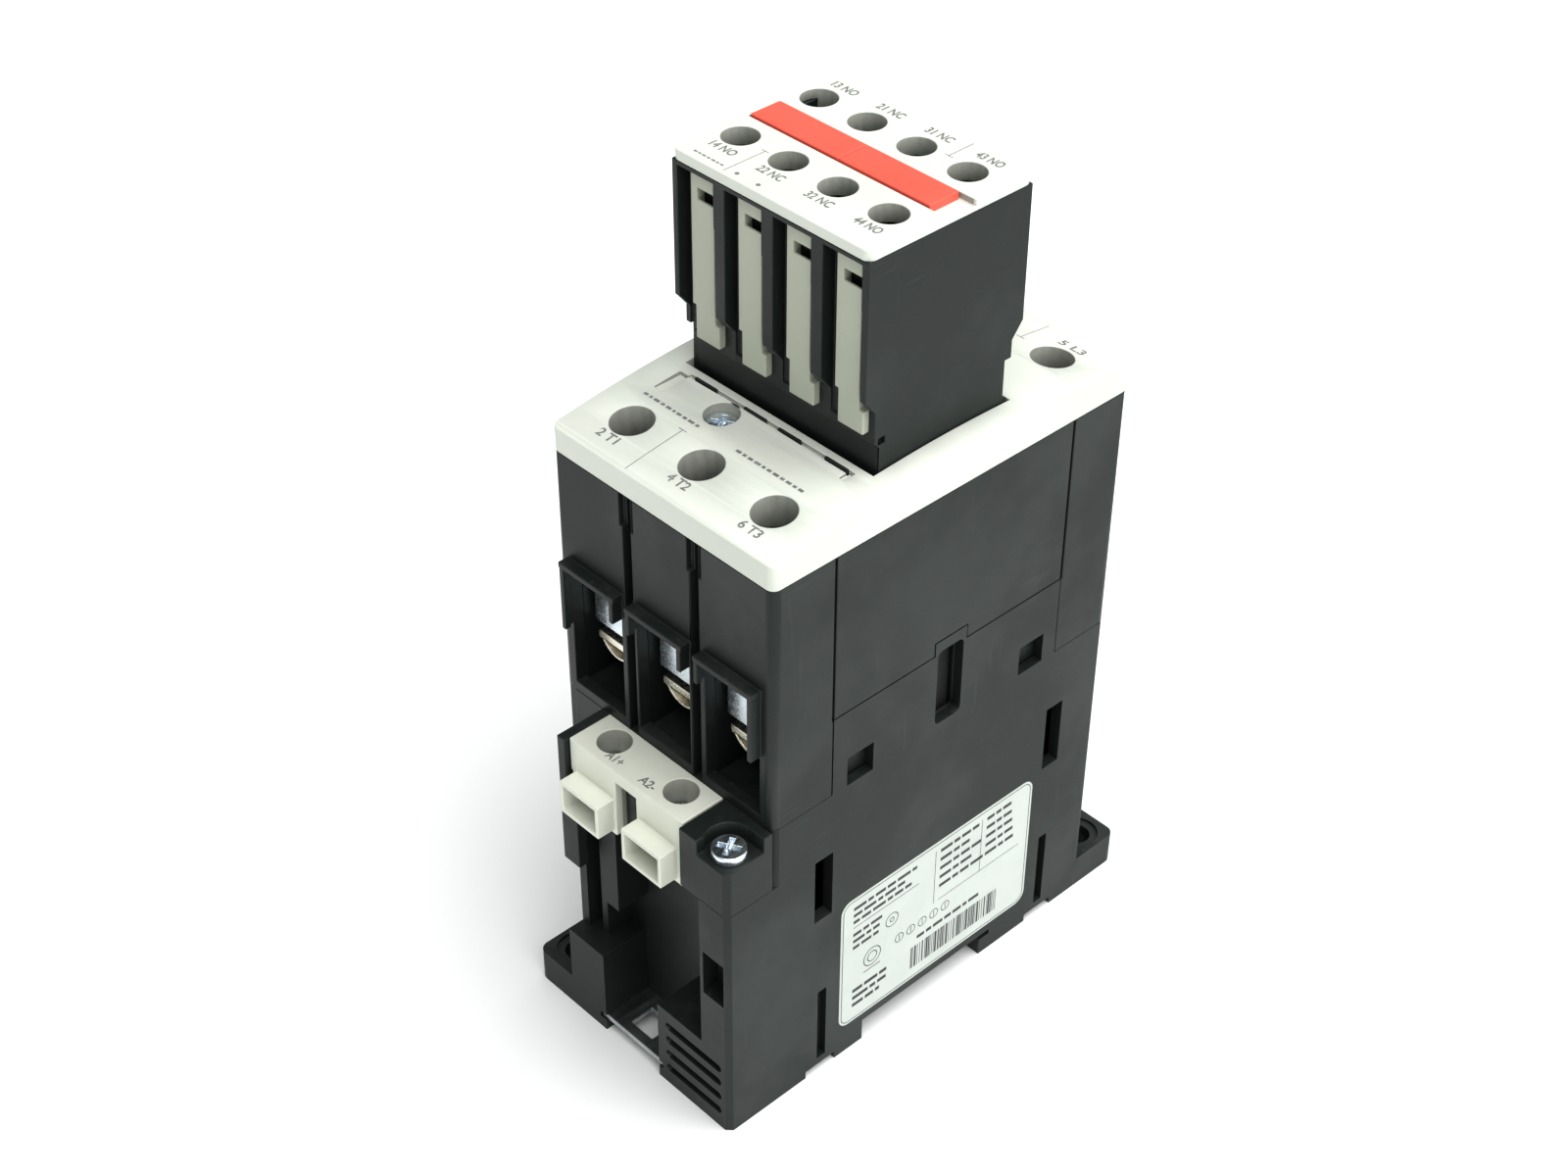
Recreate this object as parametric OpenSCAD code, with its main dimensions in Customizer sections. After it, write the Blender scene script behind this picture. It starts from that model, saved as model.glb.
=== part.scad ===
// Three pole contactor for a 35 mm rail with a clip-on auxiliary contact block.
// Origin: middle of the mounting plane. +Z points away from the rail.
// -Y is the load side with the coil terminals, +X is the side that carries the label.

/* [Housing] */
// Width across the two side walls
body_w = 55; // [50:0.5:70]
// Length of the base over the two end feet
base_l = 106.8; // [104:0.2:124]
// Length of the base between its two end walls
wall_l = 85.2; // [84:0.2:96]
// Length of the upper housing between the two terminal faces
upper_l = 85.6; // [84:0.2:98]
// Height of the seam between base and upper housing
seam_z = 68.9; // [66:0.1:72]
// Height of the seam on top of the corner columns of the base
column_z = 55.4; // [48:0.1:58]
// Thickness of the outer plastic walls
wall = 2.4; // [1.8:0.1:3.2]
// Height of the underside of the front plate
plate_z = 120.8; // [118:0.1:126]
// Height of the front plate at its two ends
plate_end_z = 125.7; // [124:0.1:130]
// Height of the front plate at the middle of its crown
crown_z = 129.1; // [127:0.1:134]

/* [Mounting] */
// Hole circle diameter of the two diagonal foot holes
hole_circle = 105.2; // [100:0.1:112]
// Diameter of the foot holes
foot_hole_d = 5.4; // [4.5:0.1:6]
// Thickness of the screw feet
foot_t = 7.2; // [5:0.1:9]
// Width of the rail recess, a 35 mm rail plus play
rail_w = 35.2; // [35:0.1:36]
// Height of the face the rail rests on
rail_z = 5; // [4:0.1:6]
// Thickness of the sheet metal rail latch
latch_t = 1.2; // [0.8:0.1:1.4]

/* [Main terminals] */
// Distance between neighbouring poles
pole_pitch = 17.5; // [16.5:0.1:20]
// Distance of the terminal screws from the middle plane
screw_y = 33.2; // [32:0.1:34.4]
// Diameter of the screwdriver holes in the front plate
plate_hole_d = 7.9; // [7.5:0.1:8.6]
// Width of the wire windows
window_w = 13.5; // [11:0.1:13.6]
// Bottom of the wire windows
window_z0 = 71; // [70.5:0.1:76]
// Top of the wire windows
window_z1 = 96; // [93:0.1:97]
// How far the wire window hoods stand out
hood_out = 2.3; // [1:0.1:3]
// Underside of the contact bars
bar_z = 88; // [87:0.1:88.5]
// Underside of the wire bars inside the wire windows
wire_z = 80.6; // [80.4:0.1:81]
// Underside of the pressure blocks at rest
clamp_z = 83.8; // [83:0.1:86]
// Diameter of the terminal screw shank
clamp_screw_d = 5; // [4:0.1:5.4]
// Diameter of the terminal screw head
clamp_head_d = 8; // [7.8:0.1:8.4]

/* [Drive] */
// Travel of the contact carrier when the coil pulls in
stroke = 6; // [4:0.1:6]
// Extra travel that loads the contact springs
overtravel = 1.5; // [0.5:0.1:2]
// Height of the pole faces of the yoke
pole_face_z = 45.4; // [44:0.1:45.4]
// Height of the fixed contact tips above the bars
tip_h = 1.5; // [1:0.1:2]

/* [Coil terminals] */
// Half width of the coil terminal block
coil_hw = 15.1; // [14:0.1:15.2]
// Distance of the coil screws from the middle
coil_x = 8.9; // [8:0.1:9.4]
// Distance of the coil screws from the middle plane
coil_y = 47; // [46.5:0.1:47.5]

/* [Auxiliary block] */
// Width of the auxiliary block
aux_w = 45.6; // [42:0.2:45.6]
// Length of the auxiliary block
aux_l = 37; // [36:0.2:39]
// Height of the auxiliary block above the mounting plane
aux_top = 171.2; // [166:0.1:180]
// Thickness of the auxiliary cover
cover_t = 2; // [1.5:0.1:3]
// Diameter of the screwdriver holes in the auxiliary cover
aux_hole_d = 6.6; // [6:0.1:7]

/* [Hidden] */
$fn = 64;
hw = body_w / 2;
by = base_l / 2;
wy = wall_l / 2;
uy = upper_l / 2;
hole_x = 22.2;
hole_y = sqrt(hole_circle * hole_circle / 4 - hole_x * hole_x);
crown_h = crown_z - plate_end_z;
crown_r = (uy * uy + crown_h * crown_h) / (2 * crown_h);
chamber_x = 24.6;
bar_top = bar_z + 2;
tip_top = bar_top + tip_h;
gap = stroke - overtravel + 0.05;
bridge_z = tip_top + gap;
plate_bar_z = bridge_z + 1.5;
spring_top = 112;
arm_z = pole_face_z + stroke + 0.1;
carrier_z = 65.4;
ax = aux_w / 2;
ay = aux_l / 2;
cell = aux_w / 4;
cover_z = aux_top - cover_t;
front_hole_y = -7.8;
rear_hole_y = 10.8;

// Plain block between two corners.
module box(x0, x1, y0, y1, z0, z1) {
  translate([x0, y0, z0]) cube([x1 - x0, y1 - y0, z1 - z0]);
}

// Upright round rod.
module rod(x, y, z0, z1, r) {
  translate([x, y, z0]) cylinder(h = z1 - z0, r = r);
}

// Outline with four rounded corners.
module round_rect(x0, x1, y0, y1, r) {
  union() {
    translate([x0 + r, y0]) square([x1 - x0 - 2 * r, y1 - y0]);
    translate([x0, y0 + r]) square([x1 - x0, y1 - y0 - 2 * r]);
    for (x = [x0 + r, x1 - r], y = [y0 + r, y1 - r]) translate([x, y]) circle(r = r);
  }
}

// Block with rounded upright edges.
module rbox(x0, x1, y0, y1, z0, z1, r) {
  translate([0, 0, z0]) linear_extrude(height = z1 - z0) round_rect(x0, x1, y0, y1, r);
}

// The same shape at both ends, turned half way round.
module both_ends() {
  for (a = [0, 180]) rotate([0, 0, a]) children();
}

// The same shape on both side walls.
module both_sides() {
  for (s = [0, 1]) mirror([s, 0, 0]) children();
}

// Prism with its outline drawn in the Y-Z plane.
module side_prism(x0, x1, pts) {
  translate([x0, 0, 0]) rotate([90, 0, 90]) linear_extrude(height = x1 - x0) polygon(pts);
}

// Cross recess for a screwdriver.
module cross_cut(x, y, z, len, w, d) {
  translate([x, y, z - d / 2]) rotate([0, 0, 30]) {
    cube([len, w, d], center = true);
    cube([w, len, d], center = true);
  }
}

// Closed ring of spring wire.
module ring(x, y, z, r, wire) {
  translate([x, y, z]) rotate_extrude() translate([r, 0]) circle(r = wire);
}

// Stack of spring turns between two heights.
module coil_spring(x, y, z0, z1, r, wire, turns) {
  for (i = [0 : turns - 1])
    ring(x, y, z0 + wire + i * (z1 - z0 - 2 * wire) / (turns - 1), r, wire);
}

// Solid part of one end of the base: foot, blocks and corner column.
module base_end() {
  rbox(-hw, -15, -by, -wy + 3, 0, foot_t, 2);
  box(-17.3, -7.4, -by, -wy + 1, 0, 20);
  box(-17.3, -15.3, -50, -wy + 1, 20, 38.9);
  box(-12.4, -10.9, -49, -wy + 1, 20, 52);
  box(-10.4, -6.3, -50, -wy + 1, 30.4, 52);
  linear_extrude(height = 19.3)
    polygon([[8, -by], [hw - 1.1, -by], [hw, -by + 1.1], [hw, -wy + 2], [8, -wy + 2]]);
  linear_extrude(height = column_z)
    polygon([[20.2, -by], [hw - 1.1, -by], [hw, -by + 1.1], [hw, -wy + 2], [20.2, -wy + 2]]);
}

// Openings in one end of the base.
module base_end_cuts() {
  rod(-hole_x, -hole_y, -1, foot_t + 1, foot_hole_d / 2);
  rod(-hole_x, -hole_y, foot_t - 0.6, foot_t + 1, foot_hole_d / 2 + 1.6);
  for (z = [4.3, 8.1, 11.9, 15.5]) side_slot(z);
  box(21, 26.4, -by - 1, -by + 3.6, 32.7, 43);
  rod(23.6, -49.2, 44.5, column_z + 1, 1.95);
}

// One rounded ventilation slot in the vent block.
module side_slot(z) {
  translate([0, -by - 1, z]) rotate([-90, 0, 0]) linear_extrude(height = 7)
    round_rect(10.2, 25.4, -0.9, 0.9, 0.85);
}

module base_housing() color([0.13, 0.14, 0.14]) difference() {
  union() {
    rbox(-hw, hw, -wy, wy, 0, seam_z, 1.5);
    both_sides() box(hw - 2, hw, -28.5, 28.5, seam_z - 1, 86);
    both_sides() box(hw - 2, hw, -3.9, 3.9, 85, 88.9);
    both_ends() base_end();
  }
  box(-hw + wall, hw - wall, -wy + wall, wy - wall, 8, seam_z + 1);
  box(-hw + 2, hw - 2, -40, 40, seam_z - 2, 90);
  both_ends() box(-25, 25, -wy - 1, -40, column_z, seam_z + 1);
  both_ends() base_end_cuts();
  // rail recess with the fixed hook on the line side
  box(-hw - 1, hw + 1, 16 - rail_w, 13.2, -1, rail_z);
  box(-hw - 1, hw + 1, 0, 16, 3.8, rail_z);
  // feet stand proud of the underside
  both_ends() box(-hw - 1, hw + 1, -34, -26.5, -1, 1.7);
  // latch guide
  box(-9.1, 9.1, -by - 1, 16 - rail_w + 1, 2.5, 3.9);
  // latch windows, snap windows and ventilation slots in the side walls
  both_sides() for (s = [-1, 1]) {
    box(hw - 4, hw + 1, s * 21.85 - 3.2, s * 21.85 + 3.2, seam_z, 75.3);
    box(hw - 4, hw + 1, s * 30.2 - 2.2, s * 30.2 + 2.2, 40, 55);
    box(hw - 1.6, hw + 1, s * 30.1 - 1.1, s * 30.1 + 1.1, 3.3, 21.3);
  }
  both_sides() rotate([0, 90, 0]) translate([0, 0, hw - 4]) linear_extrude(height = 6)
    round_rect(-86.6, -69.8, -3.25, 3.25, 1.2);
}

// Frame at one end below the upper housing that holds the coil terminals.
module end_flange() {
  difference() {
    union() {
      linear_extrude(height = 13.5)
        polygon([[15.4, -by], [hw - 1, -by], [hw, -by + 1], [hw, -wy - 0.05], [15.4, -wy - 0.05]]);
      box(-17.3, -15.3, -by, -wy - 0.05, -16.4, 13.5);
      box(-24.9, 24.9, -uy, -40.4, 0.05, 13.5);
      box(-17.3, -12.9, -by, -by + 2.2, -16.4, -1.9);
    }
    box(19.9, hw + 1, -by - 1, -49.2, 10.2, 20);
    box(23.6, hw + 1, -by - 1, -44.7, 10.2, 20);
    rod(23.6, -49.2, 10.2, 20, 4.5);
    rod(23.6, -49.2, -20, 20, 2.1);
  }
}

// Grooves, windows and shafts of one pole at the load end.
module pole_cuts(x) {
  box(x - 6.9, x + 6.9, -40.3, -24.9, 70, 105);
  box(x - window_w / 2, x + window_w / 2, -uy - 1, -40, window_z0, window_z1);
  rod(x, -screw_y, 104, plate_z + 1, 3.8);
  box(x - 4.45, x + 4.45, -25.5, -22, bar_z, bar_top);
}

// Hoods over the wire windows at the load end.
module hoods() {
  for (x = [-pole_pitch, 0, pole_pitch])
    box(x - 7.3, x + 7.3, -uy - hood_out, -uy + 1, 98, 99.2);
  for (s = [-1, 1]) {
    box(s * (pole_pitch + 6.6) - 0.5, s * (pole_pitch + 6.6) + 0.5,
        -uy - hood_out, -uy + 1, 84.5, 99.2);
    box(s * 6.6 - 0.5, s * 6.6 + 0.5, -uy - hood_out, -uy + 1, 93.5, 99.2);
    box(s * 10.9 - 0.5, s * 10.9 + 0.5, -uy - hood_out, -uy + 1, 93.5, 99.2);
  }
}

module upper_housing() color([0.14, 0.15, 0.15]) {
  difference() {
    union() {
      rbox(-hw, hw, -uy, uy, seam_z, plate_z, 1.8);
      both_ends() hoods();
    }
    both_ends() for (x = [-pole_pitch, 0, pole_pitch]) pole_cuts(x);
    both_ends() for (s = [-1, 1]) {
      box(s * 8.5 - 1.05, s * 8.5 + 1.05, -uy - 1, -uy + 2, seam_z - 1, plate_z + 1);
      box(s * 8.5 - 1.75, s * 8.5 + 1.75, -uy - 1, -uy + 1.2, 114, plate_z + 1);
    }
    difference() {
      box(-chamber_x, chamber_x, -22.9, 22.9, seam_z - 1, 116);
      for (s = [-1, 1], t = [-1, 1])
        box(s * 8.75 - 0.95, s * 8.75 + 0.95, t * 15 - 8.2, t * 15 + 8.2, seam_z, 117);
    }
    box(-4.6, 4.6, -3.6, 3.6, 110, plate_z + 1);
    both_sides() box(hw - 2.1, hw + 1, -28.7, 28.7, seam_z - 1, 86.2);
    both_sides() box(hw - 2.1, hw + 1, -4.1, 4.1, 86, 89.1);
    both_sides() box(hw - 4, hw - 1, -3.2, 3.2, 70, 86.5);
    both_sides() for (s = [-1, 1])
      box(hw - 0.6, hw + 1, s * 28.7 - 0.25, s * 28.7 + 0.25, 86, plate_z + 1);
    rod(-7.4, -22, 112, plate_z + 1, 1.55);
  }
}

module terminal_frames() color([0.14, 0.15, 0.15])
  both_ends() translate([0, 0, column_z]) end_flange();

// Curved body of the front plate, shrunk by s on every outer face.
module crown(s) {
  intersection() {
    rbox(-hw + s, hw - s, -uy + s, uy - s, plate_z - 1, crown_z + 1, 1.7);
    translate([-hw, 0, crown_z - crown_r]) rotate([0, 90, 0])
      cylinder(h = body_w, r = crown_r - s, $fn = 256);
  }
}

module front_plate() color([0.86, 0.86, 0.83]) difference() {
  union() {
    difference() {
      crown(0);
      crown(2);
    }
    intersection() {
      crown(1);
      union() {
        both_ends() for (x = [-pole_pitch, 0, pole_pitch])
          rod(x, -screw_y, plate_z, crown_z, plate_hole_d / 2 + 1.4);
        rbox(-ax - 2.1, ax + 2.1, -18.2, 18.2, plate_z, crown_z, 1);
        rod(-7.4, -22, plate_z, crown_z, 4.6);
      }
    }
  }
  box(-hw - 1, hw + 1, -uy - 1, uy + 1, plate_z - 3, plate_z);
  box(-ax - 0.15, ax + 0.15, -16.25, 16.25, plate_z - 1, crown_z + 1);
  both_ends() for (x = [-pole_pitch, 0, pole_pitch])
    rod(x, -screw_y, plate_z - 1, crown_z, plate_hole_d / 2);
  rod(-7.4, -22, 124.2, crown_z, 3.2);
  rod(-7.4, -22, plate_z - 1, crown_z, 1.7);
  box(-21.7, -19.4, -24.6, -18.6, 127.5, crown_z);
  box(-19.5, 20.4, -18.7, -17.9, 128, crown_z);
  for (x = [-18.1, -5.8, 2.6, 13.8])
    box(x, x + 5.4, -18.6, -18, 126, crown_z);
  box(19.2, 20.4, -20.4, -18.2, 127.8, crown_z);
}

module plate_screw() color([0.75, 0.77, 0.8]) difference() {
  union() {
    rod(-7.4, -22, 124.2, 126.6, 2.9);
    rod(-7.4, -22, 113, 124.2, 1.5);
  }
  cross_cut(-7.4, -22, 126.7, 4, 0.9, 1.6);
}

// Screw that ties the upper housing to a corner column.
module housing_screw() {
  color([0.78, 0.8, 0.83]) difference() {
    union() {
      rod(23.6, -49.2, column_z + 10.2, column_z + 12.1, 3.2);
      rod(23.6, -49.2, 45, column_z + 10.2, 1.9);
    }
    cross_cut(23.6, -49.2, column_z + 12.2, 4.2, 1, 1.5);
  }
}

module housing_screw_front() housing_screw();

module housing_screw_rear() rotate([0, 0, 180]) housing_screw();

module rating_label() color([0.93, 0.93, 0.92])
  rotate([0, 90, 0]) translate([0, 0, hw]) linear_extrude(height = 0.12)
    round_rect(-39.5, -7, -25.6, 25.6, 2.5);

module magnet_cushion() color([0.1, 0.1, 0.1]) rbox(-20, 20, -12, 12, 8, 10, 2);

module magnet_yoke() color([0.42, 0.43, 0.45]) {
  box(-20, 20, -12, 12, 10, 18);
  for (s = [-1, 1]) box(s * 17 - 3, s * 17 + 3, -12, 12, 17, pole_face_z);
  box(-6, 6, -12, 12, 17, pole_face_z);
}

module coil_bobbin() color([0.2, 0.2, 0.21]) difference() {
  union() {
    rbox(-13.8, 13.8, -23.5, 23.5, 18, 20, 3);
    rbox(-7.4, 7.4, -13.4, 13.4, 18, 43.9, 1);
    rbox(-13.8, 13.8, -23.5, 23.5, 41.9, 43.9, 3);
  }
  box(-6.05, 6.05, -12.05, 12.05, 17, 45);
}

module coil_winding() color([0.62, 0.32, 0.14]) difference() {
  rbox(-13.2, 13.2, -19.4, 19.4, 20, 41.9, 5);
  rbox(-7.4, 7.4, -13.4, 13.4, 19, 43, 1);
}

module return_springs() color([0.6, 0.61, 0.63])
  for (s = [-1, 1]) coil_spring(0, s * 18.6, 43.9, carrier_z, 3.2, 0.55, 8);

module armature() color([0.45, 0.46, 0.48]) {
  box(-20, 20, -12, 12, arm_z + 6, carrier_z);
  for (s = [-1, 1]) box(s * 17 - 3, s * 17 + 3, -12, 12, arm_z, arm_z + 7);
  box(-6, 6, -12, 12, arm_z, arm_z + 7);
}

module contact_carrier() color([0.18, 0.18, 0.19]) difference() {
  union() {
    rbox(-21, 21, -23.8, 23.8, carrier_z, seam_z - 0.05, 2);
    box(-23.9, 23.9, -5.5, 5.5, carrier_z + 1, 114);
    box(-4, 4, -3, 3, 113, 122.5);
  }
  for (x = [-pole_pitch, 0, pole_pitch])
    box(x - 5.6, x + 5.6, -6, 6, plate_bar_z - 0.05, spring_top);
  box(-22, 22, -6, 6, 72, 90);
}

// Curved sheet saddle under a wire bar.
module wire_saddle(x) intersection() {
  translate([x, -28, wire_z + 2]) rotate([90, 0, 0]) difference() {
    cylinder(h = 10.6, r = 4.8);
    translate([0, 0, -1]) cylinder(h = 13, r = 4.2);
  }
  box(x - 5, x + 5, -39, -27, wire_z - 4, wire_z + 0.05);
}

// Contact bar of one pole at the load end.
module contact_bar(x) {
  color([0.8, 0.55, 0.32]) {
    box(x - 4.4, x + 4.4, -26.7, -10.5, bar_z, bar_top);
    box(x - 6.4, x + 6.4, -27.2, -24.9, bar_z, bar_top);
    box(x - 4.4, x + 4.4, -26.7, -24.9, wire_z, bar_top);
    box(x - 4.8, x + 4.8, -38.8, -24.9, wire_z, wire_z + 1.6);
    wire_saddle(x);
  }
}

module contact_t1() contact_bar(-pole_pitch);

module contact_t2() contact_bar(0);

module contact_t3() contact_bar(pole_pitch);

module contact_l1() rotate([0, 0, 180]) contact_bar(pole_pitch);

module contact_l2() rotate([0, 0, 180]) contact_bar(0);

module contact_l3() rotate([0, 0, 180]) contact_bar(-pole_pitch);

module fixed_tips() color([0.83, 0.83, 0.82])
  for (x = [-pole_pitch, 0, pole_pitch], s = [-1, 1])
    rod(x, s * 14, bar_top, tip_top, 2.7);

module arc_plates() color([0.5, 0.51, 0.53])
  for (x = [-17.2, 0, 17.2], s = [-1, 1], i = [0 : 4])
    box(x - 6.8, x + 6.8, s * 20.55 - 2.35, s * 20.55 + 2.35, 93 + 3.6 * i, 93.8 + 3.6 * i);

// Moving contact bridge of one pole.
module bridge(x) {
  color([0.8, 0.55, 0.32]) {
    box(x - 5, x + 5, -17, 17, plate_bar_z, plate_bar_z + 1.8);
    for (s = [-1, 1]) rod(x, s * 14, bridge_z, plate_bar_z + 0.5, 2.7);
  }
}

module bridge_1() bridge(-pole_pitch);

module bridge_2() bridge(0);

module bridge_3() bridge(pole_pitch);

// Spring that presses one bridge on its contacts.
module bridge_spring(x) {
  color([0.62, 0.63, 0.65])
    coil_spring(x, 0, plate_bar_z + 1.8, spring_top, 3.4, 0.5, 6);
}

module bridge_spring_1() bridge_spring(-pole_pitch);

module bridge_spring_2() bridge_spring(0);

module bridge_spring_3() bridge_spring(pole_pitch);

// Terminal screw of one pole at the load end.
module terminal_screw(x) {
  color([0.75, 0.77, 0.8]) difference() {
    union() {
      rod(x, -screw_y, clamp_z + 0.1, 102, clamp_screw_d / 2);
      rod(x, -screw_y, 101, 104.5, clamp_head_d / 2);
    }
    cross_cut(x, -screw_y, 104.6, 5.4, 1.2, 2.2);
  }
}

module screw_t1() terminal_screw(-pole_pitch);

module screw_t2() terminal_screw(0);

module screw_t3() terminal_screw(pole_pitch);

module screw_l1() rotate([0, 0, 180]) terminal_screw(pole_pitch);

module screw_l2() rotate([0, 0, 180]) terminal_screw(0);

module screw_l3() rotate([0, 0, 180]) terminal_screw(-pole_pitch);

// Rising pressure block of one pole at the load end.
module pressure_block(x) {
  color([0.7, 0.74, 0.8]) difference() {
    rbox(x - 6.2, x + 6.2, -38.6, -27.8, clamp_z, 95, 0.8);
    rod(x, -screw_y, clamp_z - 1, 96, clamp_screw_d / 2 + 0.05);
  }
}

module clamp_t1() pressure_block(-pole_pitch);

module clamp_t2() pressure_block(0);

module clamp_t3() pressure_block(pole_pitch);

module clamp_l1() rotate([0, 0, 180]) pressure_block(pole_pitch);

module clamp_l2() rotate([0, 0, 180]) pressure_block(0);

module clamp_l3() rotate([0, 0, 180]) pressure_block(-pole_pitch);

module coil_terminal_block() color([0.8, 0.79, 0.75]) difference() {
  union() {
    box(-coil_hw, coil_hw, -52.3, -uy, 61.5, 69);
    for (s = [-1, 1]) {
      box(s * 8.7 - 6, s * 8.7 + 6, -52.3, -uy, 53.6, 62);
      box(s * 8.4 - 5.2, s * 8.4 + 5.2, -56.3, -50, 54.9, 62.2);
    }
  }
  box(-2.8, 2.8, -57, -40, 50, 66.4);
  for (s = [-1, 1]) {
    box(s * 8.4 - 4.4, s * 8.4 + 4.4, -57, -49, 55.8, 61.3);
    box(s * 8.7 - 4.4, s * 8.7 + 4.4, -51, -44.3, 55.8, 63.2);
    rod(s * coil_x, -coil_y, 62, 70, 3.2);
  }
}

module coil_contact_bars() color([0.8, 0.68, 0.42])
  for (s = [-1, 1]) box(s * coil_x - 1.8, s * coil_x + 1.8, -50, -44.3, 58.9, 59.5);

// Screw of one coil terminal.
module coil_screw(x) {
  color([0.72, 0.74, 0.76]) difference() {
    union() {
      rod(x, -coil_y, 62, 63.7, 2.9);
      rod(x, -coil_y, 59.55, 63, 1.5);
    }
    cross_cut(x, -coil_y, 63.8, 3.8, 0.8, 1.2);
  }
}

module coil_screw_a1() coil_screw(-coil_x);

module coil_screw_a2() coil_screw(coil_x);

// Rising clamp of one coil terminal.
module coil_clamp(x) {
  color([0.72, 0.72, 0.7]) difference() {
    box(x - 3, x + 3, -49.6, -44.5, 55.9, 60.3);
    box(x - 2.2, x + 2.2, -50, -44, 56.7, 59.7);
    rod(x, -coil_y, 59, 62, 1.55);
  }
}

module coil_clamp_a1() coil_clamp(-coil_x);

module coil_clamp_a2() coil_clamp(coil_x);

module rail_latch() color([0.72, 0.74, 0.77]) difference() {
  box(-8.9, 8.9, -53, 18.6 - rail_w, 2.6, 2.6 + latch_t);
  box(-3, 3, -50.8, -45.7, 0, 6);
}

// Cross section of the auxiliary block, clipped in towards the base.
function aux_outline() = [
  [-15.2, plate_z], [-15.2, 133.8], [-16.1, 134.4], [-16.1, 140.5], [-ay, 143.5], [-ay, cover_z],
  [ay, cover_z], [ay, 143.5], [16.1, 140.5], [16.1, 134.4], [15.2, 133.8], [15.2, plate_z]
];

// Recess for the light panels on the front face of the auxiliary block.
module aux_cell_cut(x) {
  box(x + 1.2, x + 9.9, -ay - 1, -15.6, 136.2, cover_z - 0.9);
  box(x + 9.5, x + 10.2, -ay - 1, -ay + 1.2, 140, 160);
}

module aux_housing() color([0.12, 0.13, 0.13]) difference() {
  side_prism(-ax, ax, aux_outline());
  box(-ax + 1.4, ax - 1.4, -13.6, 13.6, 123, cover_z + 1);
  box(-ax + 1.4, ax - 1.4, -15.1, 15.1, 162, cover_z + 1);
  box(-5, 5, -4, 4, plate_z - 1, 124);
  both_ends() for (i = [0 : 3]) aux_cell_cut(-ax + i * cell);
  both_ends() box(ax - 1, ax + 1, -15.1, -13.7, 133.8, 135.2);
  both_ends() box(-ax - 1, -ax + 2, -20, -14.6, plate_z - 1, 137);
}

// Light panels between the ribs of the auxiliary block.
module aux_panels() {
  color([0.72, 0.72, 0.69]) for (i = [0 : 3]) {
    x = -ax + i * cell;
    difference() {
      union() {
        box(x + 3.3, x + 8.9, -17.4, -15.6, 136.2, cover_z - 0.9);
        box(x + 4.1, x + 9.9, -17.4, -15.6, 136.2, 140.6);
      }
      box(x + 4.9, x + 9, -18, -15.4, 163.1, 165.2);
      box(x + 4.9, x + 9, -16.9, -15.4, 160.8, 165.2);
      box(x + 2, x + 4.1, -18, -14, 136, 142.6);
    }
  }
}

module aux_panels_front() aux_panels();

module aux_panels_rear() rotate([0, 0, 180]) aux_panels();

module aux_cover() color([0.88, 0.88, 0.85]) difference() {
  union() {
    rbox(-ax, ax, -ay, ay, cover_z, aux_top, 1.6);
    intersection() {
      box(-ax + 1.5, ax - 1.5, -15, 15, cover_z - 1.6, cover_z + 1);
      for (i = [0 : 3]) union() {
        rod(-ax + (i + 0.5) * cell - 0.8, front_hole_y, cover_z - 1.6, cover_z + 1, 4.2);
        rod(-ax + (i + 0.5) * cell - 1.6, rear_hole_y, cover_z - 1.6, cover_z + 1, 4.2);
      }
    }
    box(-21, 21, -13.4, -12.4, cover_z - 2, cover_z + 0.5);
  }
  box(-22.2, ax + 1, -2.1, 5.2, aux_top - 1.2, aux_top + 1);
  for (i = [0 : 3]) {
    rod(-ax + (i + 0.5) * cell - 0.8, front_hole_y, cover_z - 6, aux_top + 1, aux_hole_d / 2);
    rod(-ax + (i + 0.5) * cell - 1.6, rear_hole_y, cover_z - 6, aux_top + 1, aux_hole_d / 2);
  }
}

module aux_marker_left() color([0.93, 0.32, 0.26])
  box(-22, -1.25, -1.8, 4.9, aux_top - 1.2, aux_top + 0.3);

module aux_marker_right() color([0.93, 0.32, 0.26])
  box(-1.15, 19.3, -1.8, 4.9, aux_top - 1.2, aux_top + 0.3);

module aux_slider() color([0.2, 0.2, 0.21]) difference() {
  union() {
    box(-4.4, 4.4, -2.8, 2.8, 122.55, 130);
    box(-20.6, 20.6, -2.4, 2.4, 129.2, 155.9);
  }
  for (i = [0, 3]) box(-ax + (i + 0.5) * cell - 2.2, -ax + (i + 0.5) * cell + 2.2,
                       -3, 3, 140.05, 145);
  for (i = [1, 2]) box(-ax + (i + 0.5) * cell - 2.2, -ax + (i + 0.5) * cell + 2.2,
                       -3, 3, 145, 149.95);
}

module aux_bridges() color([0.82, 0.62, 0.4]) {
  for (i = [0, 3]) box(-ax + (i + 0.5) * cell - 2, -ax + (i + 0.5) * cell + 2,
                       -8, 8, 140.05, 141.25);
  for (i = [1, 2]) box(-ax + (i + 0.5) * cell - 2, -ax + (i + 0.5) * cell + 2,
                       -8, 8, 148.75, 149.95);
}

module aux_springs() color([0.6, 0.61, 0.63]) {
  for (i = [0, 3]) coil_spring(-ax + (i + 0.5) * cell, 0, 141.25, 145, 1.5, 0.25, 4);
  for (i = [1, 2]) coil_spring(-ax + (i + 0.5) * cell, 0, 145, 148.75, 1.5, 0.25, 4);
}

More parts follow.
